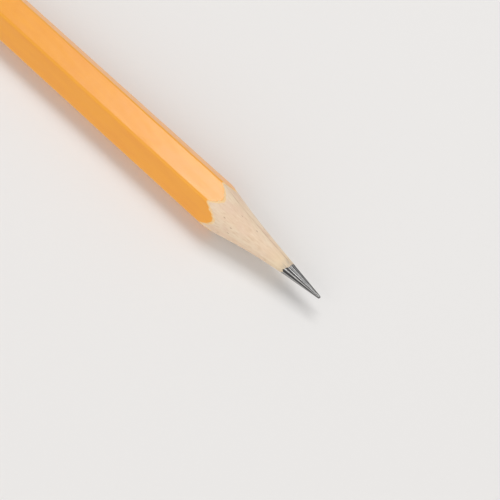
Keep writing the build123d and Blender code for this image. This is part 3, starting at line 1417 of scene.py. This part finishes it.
@dataclass
class WoodCasing:
    """Two grooved slats, glued around the lead, planed six-sided and sharpened."""

    sizes: PencilSizes
    cone: SharpenedCone
    grip: GripMarks
    seam_deg: float = 60.0
    glue_thickness: float = 0.1
    glue_sunk: float = 0.012
    tenon_clearance: float = 0.04
    ferrule_wall: float = 0.22
    cone_rows: int = 92
    tenon_rows: int = 66
    body_rows: int = 4
    fine_step_deg: float = 0.75
    coarse_step_deg: float = 1.5
    edge_zone_deg: float = 4.5
    rim_hold: float = 0.03
    collar_hold: float = 0.10
    fibre: Ripple = Ripple(seed=41, amount=0.0045, most_around=150, shortest=9.0, waves=46)
    chatter: Ripple = Ripple(seed=42, amount=0.010, most_around=9, shortest=5.0, waves=12)
    back_grain_shift: Triple = (31.0, 17.0, 5.0)

    def flat_radius(self) -> float:
        """The axis to a flat of the bare wood."""
        return self.sizes.flat_radius - self.sizes.lacquer - self.sizes.undercoat

    def outline(self, angle: np.ndarray) -> np.ndarray:
        """The six-sided outline of the bare wood."""
        edge = self.sizes.edge_radius - self.sizes.lacquer - self.sizes.undercoat
        return six_sided(angle, self.flat_radius(), edge)

    def skin(self, angle: np.ndarray) -> tuple[np.ndarray, np.ndarray]:
        """The outside of the casing, from its turned end to the feather edge on the lead.

        Args:
            angle: Angles around the axis, in one row.

        Returns:
            Places along the pencil and distances from its axis, in rows.
        """
        sizes = self.sizes
        tenon_x = np.linspace(sizes.tenon_end_x, sizes.shoulder_x, self.tenon_rows)[:, None] + 0 * angle
        bore = sizes.ferrule_radius - self.ferrule_wall
        tenon_radius = bore - self.tenon_clearance - self.grip.depth(tenon_x, angle)
        body = self.outline(angle)
        rim_x = self.cone.surface_x(body, angle)
        share = np.linspace(0, 1, self.body_rows)[:-1, None]
        body_x = sizes.shoulder_x + (rim_x - sizes.shoulder_x) * share
        body_radius = body + 0 * share
        down = np.linspace(1, 0, self.cone_rows)[:, None]
        cone_radius = sizes.core_radius + (body - sizes.core_radius) * down
        cone_x = self.cone.surface_x(cone_radius, angle)
        uneven = self.fibre.at(cone_x, angle) + self.chatter.at(cone_x, angle)
        held = smooth_step(down / self.collar_hold) * smooth_step((1 - down) / self.rim_hold)
        cone_radius = cone_radius + uneven * held
        x = np.concatenate([tenon_x, body_x, cone_x])
        radius = np.concatenate([tenon_radius, body_radius, cone_radius])
        return x, radius

    def build_slat(self, side: SlatSide) -> bpy.types.Object:
        """Make one half of the casing.

        Args:
            side: Which half.

        Returns:
            The piece.
        """
        sizes = self.sizes
        start = math.radians(self.seam_deg) + (math.pi if side is SlatSide.BACK else 0.0)
        shares = girth_shares(self.fine_step_deg, self.coarse_step_deg, self.edge_zone_deg)[None, :]
        x, radius = self.skin(start + math.pi * shares)
        height = sizes.axis_height
        outer = around_axis(x, radius, self.clear_of_glue(start, shares, radius), height)
        groove = np.full_like(x, sizes.core_radius)
        inner = around_axis(x, groove, self.clear_of_glue(start, shares, groove), height)
        inner[-1] = outer[-1]
        sheet = MeshSheet()
        sheet.add_grid(outer)
        sheet.add_grid(inner)
        sheet.add_grid(np.stack([outer[:, 0], inner[:, 0]]))
        sheet.add_grid(np.stack([outer[:, -1], inner[:, -1]]))
        sheet.add_grid(np.stack([outer[0], inner[0]]))
        return sheet.piece(side.value + "_wood", crease_deg=40.0)

    def clear_of_glue(self, start: float, shares: np.ndarray, radius: np.ndarray) -> np.ndarray:
        """Angles around one slat that leave half the glue's thickness at both its faces.

        Args:
            start: Where the slat's half turn starts.
            shares: Shares of the half turn.
            radius: Distances from the axis.

        Returns:
            The angles.
        """
        lost = np.arcsin(self.glue_thickness / 2 / radius)
        return start + lost + (math.pi - 2 * lost) * shares

    def build_glue(self, side: GlueSide) -> bpy.types.Object:
        """Make one glue line, from the lead out to the surface.

        Args:
            side: Which one.

        Returns:
            The piece.
        """
        sizes = self.sizes
        seam = math.radians(self.seam_deg) + (math.pi if side is GlueSide.LOWER else 0.0)
        x, radius = self.skin(np.array([[seam]]))
        reach = np.maximum(radius - self.glue_sunk, sizes.core_radius)
        half = self.glue_thickness / 2
        ways = ((0, half), (0, -half), (1, -half), (1, 0.0), (1, half))
        columns = []
        for outward, beside in ways:
            out = np.where(outward, reach, sizes.core_radius)
            across = out * math.cos(seam) - beside * math.sin(seam)
            up = out * math.sin(seam) + beside * math.cos(seam)
            columns.append(np.concatenate([x, across, sizes.axis_height + up], axis=1))
        loops = np.stack(columns, axis=1)
        sheet = MeshSheet()
        sheet.add_grid(loops, wrap_columns=True)
        sheet.add_grid(np.stack([loops[0, [0, 4, 3]], loops[0, [1, 2, 3]]]))
        sheet.add_grid(np.stack([loops[-1, [0, 4, 3]], loops[-1, [1, 2, 3]]]))
        return sheet.piece(side.value + "_film", crease_deg=40.0)

    def assemble(self, effects: SharedEffects) -> None:
        """Build the slats and the glue, dress them and seat them on the frame.

        Args:
            effects: The shared node groups.
        """
        shifts = {SlatSide.FRONT: (0.0, 0.0, 0.0), SlatSide.BACK: self.back_grain_shift}
        for side in SlatSide:
            finish = WoodFinish(side.value + "_grain", shifts[side], self.sizes.collar_x)
            seat(self.build_slat(side), finish.material(effects), "wood", side.value)
        glue = GlueFinish().material(effects)
        for line in GlueSide:
            seat(self.build_glue(line), glue, "glue", line.value)


class Coat(Enum):
    """The coats on the wood, by the node that each stands for."""

    UNDERCOAT = "undercoat"
    LACQUER = "lacquer_coat"


@dataclass
class PaintCoats:
    """The coats of paint on the six flats, cut back by the sharpener."""

    sizes: PencilSizes
    cone: SharpenedCone
    body_pitch: float = 1.6
    inner_rows: int = 6
    face_rows: int = 4
    near_rim: tuple[float, ...] = (0.60, 0.30, 0.15, 0.07, 0.02)
    fine_step_deg: float = 0.6
    coarse_step_deg: float = 1.5
    edge_zone_deg: float = 5.0
    lip_drop: float = 0.006
    body_drop: float = 0.002
    tail_taper: float = 2.0
    undercoat_chip_share: float = 0.35
    inner_chip_share: float = 0.6
    undercoat_cut_share: float = 0.75
    lacquer_cut_share: float = 0.35
    edge_mask_reach_deg: float = 4.6
    flow: Ripple = Ripple(seed=61, amount=0.009, most_around=14, shortest=6.0, waves=30)
    nicks: tuple[Nick, ...] = (
        Nick(angle_deg=132, width_deg=2.6, depth=0.42),
        Nick(angle_deg=141, width_deg=1.5, depth=0.20),
        Nick(angle_deg=101, width_deg=1.8, depth=0.18),
        Nick(angle_deg=81, width_deg=1.6, depth=0.13),
        Nick(angle_deg=28, width_deg=2.0, depth=0.22),
        Nick(angle_deg=-35, width_deg=2.6, depth=0.30),
        Nick(angle_deg=-100, width_deg=2.0, depth=0.24),
        Nick(angle_deg=-160, width_deg=1.8, depth=0.28),
    )

    def build(self, coat: Coat) -> bpy.types.Object:
        """Make one coat as a thin closed sleeve.

        Args:
            coat: Which coat.

        Returns:
            The piece.
        """
        sizes = self.sizes
        if coat is Coat.UNDERCOAT:
            outside, inside = sizes.lacquer, sizes.lacquer + sizes.undercoat
            chip_share, cut_share = self.undercoat_chip_share, self.undercoat_cut_share
        else:
            outside, inside = 0.0, sizes.lacquer
            chip_share, cut_share = 1.0, self.lacquer_cut_share
        shares = girth_shares(self.fine_step_deg, self.coarse_step_deg, self.edge_zone_deg)
        half_turn = shares[:-1] * math.pi
        angle = np.concatenate([half_turn, half_turn + math.pi])[None, :]
        outer = six_sided(angle, sizes.flat_radius - outside, sizes.edge_radius - outside)
        inner = six_sided(angle, sizes.flat_radius - inside, sizes.edge_radius - inside)
        chips = chip_share * sum(nick.at(angle) for nick in self.nicks)
        rim_x = self.cone.surface_x(outer, angle) - chips
        sharpened_x = self.cone.surface_x(inner, angle) - self.inner_chip_share * chips
        back_x = rim_x + (sharpened_x - rim_x) * cut_share
        length = float(rim_x.mean()) - sizes.shoulder_x
        near_rim = np.array(self.near_rim)[:, None]
        share = np.linspace(0, 1, int(length / self.body_pitch))[:, None]
        plain_x = sizes.shoulder_x + (rim_x - near_rim[0] - sizes.shoulder_x) * share
        body_x = np.concatenate([plain_x, rim_x - near_rim[1:]])
        from_tail = (body_x - sizes.shoulder_x) / self.tail_taper
        wave = self.flow.at(body_x, angle) if coat is Coat.LACQUER else 0.0
        body_radius = outer + wave * smooth_step(from_tail) - self.body_drop
        across = np.linspace(0, 1, self.face_rows)[:, None]
        face_x = rim_x + (back_x - rim_x) * across
        face_radius = outer + (inner - outer) * across
        face_radius = face_radius - self.lip_drop * (across == 0)
        back = np.linspace(1, 0, self.inner_rows)[1:, None]
        bore_x = sizes.shoulder_x + (back_x - sizes.shoulder_x) * back
        bore_radius = inner + 0 * back
        x = np.concatenate([body_x, face_x, bore_x])
        radius = np.concatenate([body_radius, face_radius, bore_radius])
        sheet = MeshSheet()
        points = around_axis(x, radius, angle, sizes.axis_height)
        sheet.add_grid(points, wrap_rows=True, wrap_columns=True)
        piece = sheet.piece(coat.value + "_sleeve", crease_deg=30.0)
        _, _, around = vertex_places(piece, sizes.axis_height)
        # The edge mask places the lacquer's painted highlight on the long edges.
        paint_attribute(piece, "edge_mask", edge_nearness(around, self.edge_mask_reach_deg))
        # The cut mask places the lacquer's painted sheen on the cut face.
        cut = np.zeros(x.shape)
        cut[len(body_x):len(body_x) + self.face_rows] = 1.0
        paint_attribute(piece, "cut_mask", cut.ravel())
        return piece

    def assemble(self, effects: SharedEffects) -> None:
        """Build both coats, dress them and seat them on the frame.

        Args:
            effects: The shared node groups.
        """
        finishes = {Coat.UNDERCOAT: UndercoatFinish(), Coat.LACQUER: LacquerFinish()}
        slots = {Coat.UNDERCOAT: "undercoat", Coat.LACQUER: "lacquer"}
        for coat in Coat:
            seat(self.build(coat), finishes[coat].material(effects), slots[coat], coat.value)


# ---------------------------------------------------------------- the tail


@dataclass
class FerruleTube:
    """The rolled tube: grip rings, a band of flutes and a ring of crimps, all pressed in."""

    sizes: PencilSizes
    grip: GripMarks
    finish: AluminiumFinish
    wall: float = 0.22
    flute_count: int = 36
    flute_depth: float = 0.10
    flute_reach: float = 1.35
    flute_fade: float = 0.25
    lip_depth: float = 0.05
    lip_reach: float = 0.22
    rim_crease_deg: float = 50.0
    rows: int = 151
    columns: int = 253

    def number_inputs(self) -> dict[str, float]:
        """The tree's inputs that are numbers.

        Returns:
            Each one's value by its name.
        """
        sizes, grip = self.sizes, self.grip
        return {
            "Rear": sizes.ferrule_rear_x,
            "Length": sizes.shoulder_x - sizes.ferrule_rear_x,
            "Radius": sizes.ferrule_radius,
            "Axis Height": sizes.axis_height,
            "Ring Depth": grip.ring_depth,
            "Ring Reach": grip.ring_reach,
            "Ring Edge Distance": grip.ring_edge_distance,
            "Ring Pitch": grip.ring_pitch,
            "Crimp Count": float(grip.crimp_count),
            "Crimp Depth": grip.crimp_depth,
            "Crimp Reach": grip.crimp_reach,
            "Flute Count": float(self.flute_count),
            "Flute Depth": self.flute_depth,
            "Flute Reach": self.flute_reach,
            "Flute Fade": self.flute_fade,
            "Lip Depth": self.lip_depth,
            "Lip Reach": self.lip_reach,
        }

    def tree(self) -> tuple[bpy.types.NodeTree, dict[str, str]]:
        """Build the geometry tree that rolls a flat grid into the marked tube.

        Returns:
            The tree, and each input's identifier by its name.
        """
        group = bpy.data.node_groups.new("rolled_ferrule", "GeometryNodeTree")
        group.interface.new_socket("Geometry", in_out="OUTPUT", socket_type="NodeSocketGeometry")
        found = {}
        for label in self.number_inputs():
            socket = group.interface.new_socket(label, in_out="INPUT", socket_type="NodeSocketFloat")
            found[label] = socket.identifier
        socket = group.interface.new_socket("Metal", in_out="INPUT", socket_type="NodeSocketMaterial")
        found["Metal"] = socket.identifier
        sheet = NodeSheet(group)
        given = sheet.add("NodeGroupInput").outputs
        grid = sheet.add("GeometryNodeMeshGrid")
        grid.inputs["Size X"].default_value = 1.0
        grid.inputs["Size Y"].default_value = 1.0
        grid.inputs["Vertices X"].default_value = self.rows
        grid.inputs["Vertices Y"].default_value = self.columns
        flat = sheet.split(sheet.add("GeometryNodeInputPosition").outputs[0])
        along = sheet.math("MULTIPLY", sheet.math("ADD", flat["X"], 0.5), given["Length"])
        angle = sheet.math("MULTIPLY", sheet.math("ADD", flat["Y"], 0.5), TURN)
        sunk = self.wire_marks(sheet, given, along, angle)
        radius = sheet.math("SUBTRACT", given["Radius"], sunk)
        across = sheet.math("MULTIPLY", radius, sheet.math("COSINE", angle))
        up = sheet.math("MULTIPLY", radius, sheet.math("SINE", angle))
        up = sheet.math("ADD", up, given["Axis Height"])
        place = (sheet.math("ADD", along, given["Rear"]), across, up)
        place = sheet.join(*(sheet.math("MULTIPLY", side, MM) for side in place))
        marked = sheet.add("GeometryNodeStoreNamedAttribute", data_type="FLOAT", domain="POINT")
        sheet.feed(marked.inputs["Geometry"], grid.outputs["Mesh"])
        marked.inputs["Name"].default_value = "hollow"
        sheet.feed(marked.inputs["Value"], sunk)
        rolled = sheet.add("GeometryNodeSetPosition")
        sheet.feed(rolled.inputs["Geometry"], marked.outputs[0])
        sheet.feed(rolled.inputs["Position"], place)
        closed = sheet.add("GeometryNodeMergeByDistance")
        sheet.feed(closed.inputs["Geometry"], rolled.outputs[0])
        closed.inputs["Distance"].default_value = SEAM_REACH
        smooth = sheet.add("GeometryNodeSetShadeSmooth")
        sheet.feed(smooth.inputs["Geometry"], closed.outputs[0])
        real = sheet.add("GeometryNodeRealizeInstances")
        sheet.feed(real.inputs["Geometry"], smooth.outputs[0])
        metal = sheet.add("GeometryNodeSetMaterial")
        sheet.feed(metal.inputs["Geometry"], real.outputs[0])
        sheet.feed(metal.inputs["Material"], given["Metal"])
        sheet.feed(sheet.add("NodeGroupOutput").inputs[0], metal.outputs[0])
        return group, found

    def wire_marks(
        self, sheet: NodeSheet, given: object, along: bpy.types.NodeSocket, angle: bpy.types.NodeSocket
    ) -> bpy.types.NodeSocket:
        """Wire how deep the tube's wall is pressed in at each place.

        Args:
            sheet: The tree's sheet.
            given: The tree's inputs.
            along: The place along the tube.
            angle: The angle around it.

        Returns:
            The depth.
        """
        half = sheet.math("MULTIPLY", given["Length"], 0.5)
        from_middle = sheet.math("ABSOLUTE", sheet.math("SUBTRACT", along, half))
        from_end = sheet.math("SUBTRACT", half, from_middle)
        outer_ring = given["Ring Edge Distance"]
        inner_ring = sheet.math("ADD", outer_ring, given["Ring Pitch"])
        total = sheet.remap(from_end, 0.0, given["Lip Reach"], given["Lip Depth"], 0.0)
        for place in (outer_ring, inner_ring):
            away = sheet.math("ABSOLUTE", sheet.math("SUBTRACT", from_end, place))
            ring = sheet.remap(away, 0.0, given["Ring Reach"], given["Ring Depth"], 0.0)
            total = sheet.math("ADD", total, ring)
        window_start = sheet.math("SUBTRACT", given["Flute Reach"], given["Flute Fade"])
        window = sheet.remap(from_middle, window_start, given["Flute Reach"], 1.0, 0.0)
        wave = sheet.math("COSINE", sheet.math("MULTIPLY", angle, given["Flute Count"]))
        wave = sheet.math("MULTIPLY_ADD", wave, -0.5, 0.5)
        flute = sheet.math("MULTIPLY", sheet.math("MULTIPLY", wave, given["Flute Depth"]), window)
        total = sheet.math("ADD", total, flute)
        step = sheet.math("DIVIDE", TURN, given["Crimp Count"])
        half_step = sheet.math("MULTIPLY", step, 0.5)
        turned = sheet.math("FLOORED_MODULO", sheet.math("ADD", angle, half_step), step)
        arc = sheet.math("MULTIPLY", sheet.math("SUBTRACT", turned, half_step), given["Radius"])
        crimp_place = sheet.math("MULTIPLY_ADD", given["Ring Pitch"], 0.5, outer_ring)
        crimp_along = sheet.math("SUBTRACT", along, sheet.math("SUBTRACT", given["Length"], crimp_place))
        around_square = sheet.math("MULTIPLY", arc, arc)
        along_square = sheet.math("MULTIPLY", crimp_along, crimp_along)
        away = sheet.math("SQRT", sheet.math("ADD", around_square, along_square))
        crimp = sheet.remap(away, 0.0, given["Crimp Reach"], given["Crimp Depth"], 0.0)
        return sheet.math("ADD", total, crimp)

    def build(self, metal: bpy.types.Material) -> bpy.types.Object:
        """Roll the tube, then give its sheet a thickness.

        Args:
            metal: The tube's material.

        Returns:
            The piece.
        """
        group, found = self.tree()
        blank = bpy.data.objects.new("ferrule_blank", bpy.data.meshes.new("ferrule_blank"))
        bpy.context.scene.collection.objects.link(blank)
        maker = blank.modifiers.new("roll", "NODES")
        maker.node_group = group
        for label, value in self.number_inputs().items():
            maker[found[label]] = value
        maker[found["Metal"]] = metal
        thick = blank.modifiers.new("wall", "SOLIDIFY")
        thick.thickness = self.wall * MM
        thick.offset = 1.0
        thick.use_even_offset = True
        thick.use_rim = True
        graph = bpy.context.evaluated_depsgraph_get()
        mesh = bpy.data.meshes.new_from_object(blank.evaluated_get(graph))
        bpy.data.objects.remove(blank)
        mesh.name = "ferrule_tube"
        self.tidy(mesh)
        piece = bpy.data.objects.new("ferrule_tube", mesh)
        bpy.context.scene.collection.objects.link(piece)
        return piece

    def tidy(self, mesh: bpy.types.Mesh) -> None:
        """Point the tube's faces outwards and mark its rims sharp.

        Args:
            mesh: The tube's mesh.
        """
        work = bmesh.new()
        work.from_mesh(mesh)
        bmesh.ops.recalc_face_normals(work, faces=work.faces)
        crease = math.radians(self.rim_crease_deg)
        for edge in work.edges:
            edge.smooth = len(edge.link_faces) == 2 and edge.calc_face_angle(0.0) < crease
        work.to_mesh(mesh)
        work.free()

    def assemble(self, effects: SharedEffects) -> None:
        """Build the tube, dress it and seat it on the frame.

        Args:
            effects: The shared node groups.
        """
        metal = self.finish.material(effects)
        seat(self.build(metal), metal, "ferrule", "ferrule")


@dataclass
class EraserPlug:
    """The rubber plug: gripped inside the tube, swelling a little where it leaves it."""

    sizes: PencilSizes
    grip: GripMarks
    finish: RubberFinish
    wall: float = 0.22
    clearance: float = 0.02
    swell: float = 0.05
    swell_reach: float = 0.9
    neck_tightness: float = 14.0
    tuck: float = 0.02
    end_radius: float = 0.9
    end_crown: float = 0.10
    crown_fullness: float = 1.5
    columns: int = 120
    stem_rows: int = 60
    side_rows: int = 44
    round_rows: int = 16
    face_rows: int = 14
    lumps: Ripple = Ripple(seed=81, amount=0.012, most_around=7, shortest=2.2, waves=18)
    worn: Ripple = Ripple(seed=82, amount=0.028, most_around=3, shortest=9.0, waves=8)

    def build(self) -> bpy.types.Object:
        """Make the eraser.

        Returns:
            The piece.
        """
        sizes = self.sizes
        angle = np.linspace(0, TURN, self.columns, endpoint=False)[None, :]
        bore = sizes.ferrule_radius - self.wall - self.clearance
        stem_x = np.linspace(sizes.tenon_end_x, sizes.ferrule_rear_x, self.stem_rows)[:, None] + 0 * angle
        stem_radius = bore - self.grip.depth(stem_x, angle)
        corner_x = sizes.end_x + self.end_radius
        neck_x = sizes.ferrule_rear_x - self.tuck
        side_x = np.linspace(neck_x, corner_x, self.side_rows)[:, None] + 0 * angle
        out = (sizes.ferrule_rear_x - side_x) / self.swell_reach
        neck = (sizes.eraser_radius - bore) * np.exp(-out * self.neck_tightness)
        swelling = self.swell * np.exp(-out) - neck
        side_radius = sizes.eraser_radius + swelling + self.lumps.at(side_x, angle) * smooth_step(out)
        sweep = np.linspace(0, math.pi / 2, self.round_rows)[1:, None]
        round_x = corner_x - self.end_radius * np.sin(sweep) + 0 * angle
        round_radius = sizes.eraser_radius - self.end_radius * (1 - np.cos(sweep)) + 0 * angle
        round_radius = round_radius + self.lumps.at(round_x, angle) * np.cos(sweep)
        share = np.linspace(1, 0, self.face_rows)[1:, None]
        face_radius = (sizes.eraser_radius - self.end_radius) * share + 0 * angle
        crown = self.end_crown * smooth_step(share) * (1 - share) * self.crown_fullness
        face_x = sizes.end_x + crown + 0 * angle
        worn = np.abs(self.worn.at(round_x, angle)) * smooth_step(np.sin(sweep))
        round_x = round_x + worn
        face_x = face_x + worn[-1:] * share
        x = np.concatenate([stem_x[:1], stem_x, side_x, round_x, face_x])
        pole = 0 * stem_radius[:1]
        radius = np.concatenate([pole, stem_radius, side_radius, round_radius, face_radius])
        sheet = MeshSheet()
        sheet.add_grid(around_axis(x, radius, angle, sizes.axis_height), wrap_columns=True)
        return sheet.piece("eraser_plug", crease_deg=50.0)

    def assemble(self, effects: SharedEffects) -> None:
        """Build the eraser, dress it and seat it on the frame."""
        seat(self.build(), self.finish.material(effects), "eraser", "eraser")


# ---------------------------------------------------------------- studio


@dataclass(frozen=True)
class SoftBox:
    """A square studio light that faces the point of the pencil."""

    name: str
    place: tuple[float, float, float]
    side: float
    watts: float
    colour: tuple[float, float, float] = (1.0, 1.0, 1.0)

    def build(self, target: Vector) -> None:
        """Add the light to the scene.

        Args:
            target: What it faces, in metres.
        """
        data = bpy.data.lights.new(self.name, "AREA")
        data.shape = "SQUARE"
        data.size = self.side
        data.energy = self.watts
        data.color = self.colour
        lamp = bpy.data.objects.new(self.name, data)
        lamp.location = self.place
        lamp.rotation_euler = (target - lamp.location).to_track_quat("-Z", "Y").to_euler()
        bpy.context.scene.collection.objects.link(lamp)


@dataclass(frozen=True)
class Studio:
    """A plain pale floor, soft light from above and the camera; places are in metres."""

    sizes: PencilSizes
    floor_side: float = 6.0
    sky: tuple[float, float, float] = (1.0, 0.985, 0.97)
    sky_strength: float = 0.46
    azimuth_deg: float = 46.0
    elevation_deg: float = 61.5
    aim_behind_tip: float = 12.84
    aim_across: float = -1.81
    distance: float = 0.2958
    lens: float = 144.0
    film_width: float = 36.0
    clip_start: float = 0.01
    boxes: tuple[SoftBox, ...] = (
        SoftBox("overhead_box", (-0.08, 0.38, 0.91), 0.50, 4.5, (1.0, 0.995, 0.985)),
        SoftBox("front_fill", (0.25, -0.85, 0.55), 1.10, 4.4, (1.0, 0.965, 0.92)),
    )

    def target(self) -> Vector:
        """The point of the pencil that the lights and the camera face, in metres."""
        along = self.sizes.tip_x - self.aim_behind_tip
        return Vector((along * MM, self.aim_across * MM, self.sizes.axis_height * MM))

    def build_floor(self) -> None:
        """Lay the floor under the pencil."""
        half = self.floor_side / 2
        mesh = bpy.data.meshes.new("studio_floor")
        corners = [(-half, -half, 0), (half, -half, 0), (half, half, 0), (-half, half, 0)]
        mesh.from_pydata(corners, [], [(0, 1, 2, 3)])
        mesh.materials.append(FloorFinish().material())
        floor = bpy.data.objects.new("studio_floor", mesh)
        bpy.context.scene.collection.objects.link(floor)

    def build_sky(self) -> None:
        """Give the room an even pale light."""
        world = bpy.data.worlds.new("studio_air")
        world.use_nodes = True
        background = world.node_tree.nodes["Background"]
        background.inputs["Color"].default_value = (*self.sky, 1.0)
        background.inputs["Strength"].default_value = self.sky_strength
        bpy.context.scene.world = world

    def build_camera(self) -> None:
        """Set the camera above the near side of the point."""
        azimuth, elevation = math.radians(self.azimuth_deg), math.radians(self.elevation_deg)
        level = math.cos(elevation)
        back = Vector((math.sin(azimuth) * level, -math.cos(azimuth) * level, math.sin(elevation)))
        data = bpy.data.cameras.new("studio_camera")
        data.lens = self.lens
        data.sensor_width = self.film_width
        data.clip_start = self.clip_start
        camera = bpy.data.objects.new("studio_camera", data)
        camera.location = self.target() + back * self.distance
        camera.rotation_mode = "QUATERNION"
        camera.rotation_quaternion = (-back).to_track_quat("-Z", "Y")
        bpy.context.scene.collection.objects.link(camera)
        bpy.context.scene.camera = camera

    def assemble(self) -> None:
        """Build the floor, the lights and the camera."""
        self.build_floor()
        self.build_sky()
        for box in self.boxes:
            box.build(self.target())
        self.build_camera()
        bpy.context.scene.view_settings.view_transform = "Standard"


def main() -> None:
    """Build the pencil and its studio around the frame."""
    logging.basicConfig(level=logging.INFO, format="%(name)s: %(message)s")
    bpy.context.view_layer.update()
    sizes = PencilSizes.from_frame()
    LOG.info("sizes: %s", sizes)
    effects = SharedEffects()
    cone = SharpenedCone(sizes)
    grip = GripMarks(sizes)
    parts = (
        LeadCore(sizes, cone, GraphiteFinish()),
        WoodCasing(sizes, cone, grip),
        PaintCoats(sizes, cone),
        FerruleTube(sizes, grip, AluminiumFinish()),
        EraserPlug(sizes, grip, RubberFinish(sizes.end_x)),
    )
    for part in parts:
        part.assemble(effects)
    Studio(sizes).assemble()


if __name__ == "__main__":
    main()
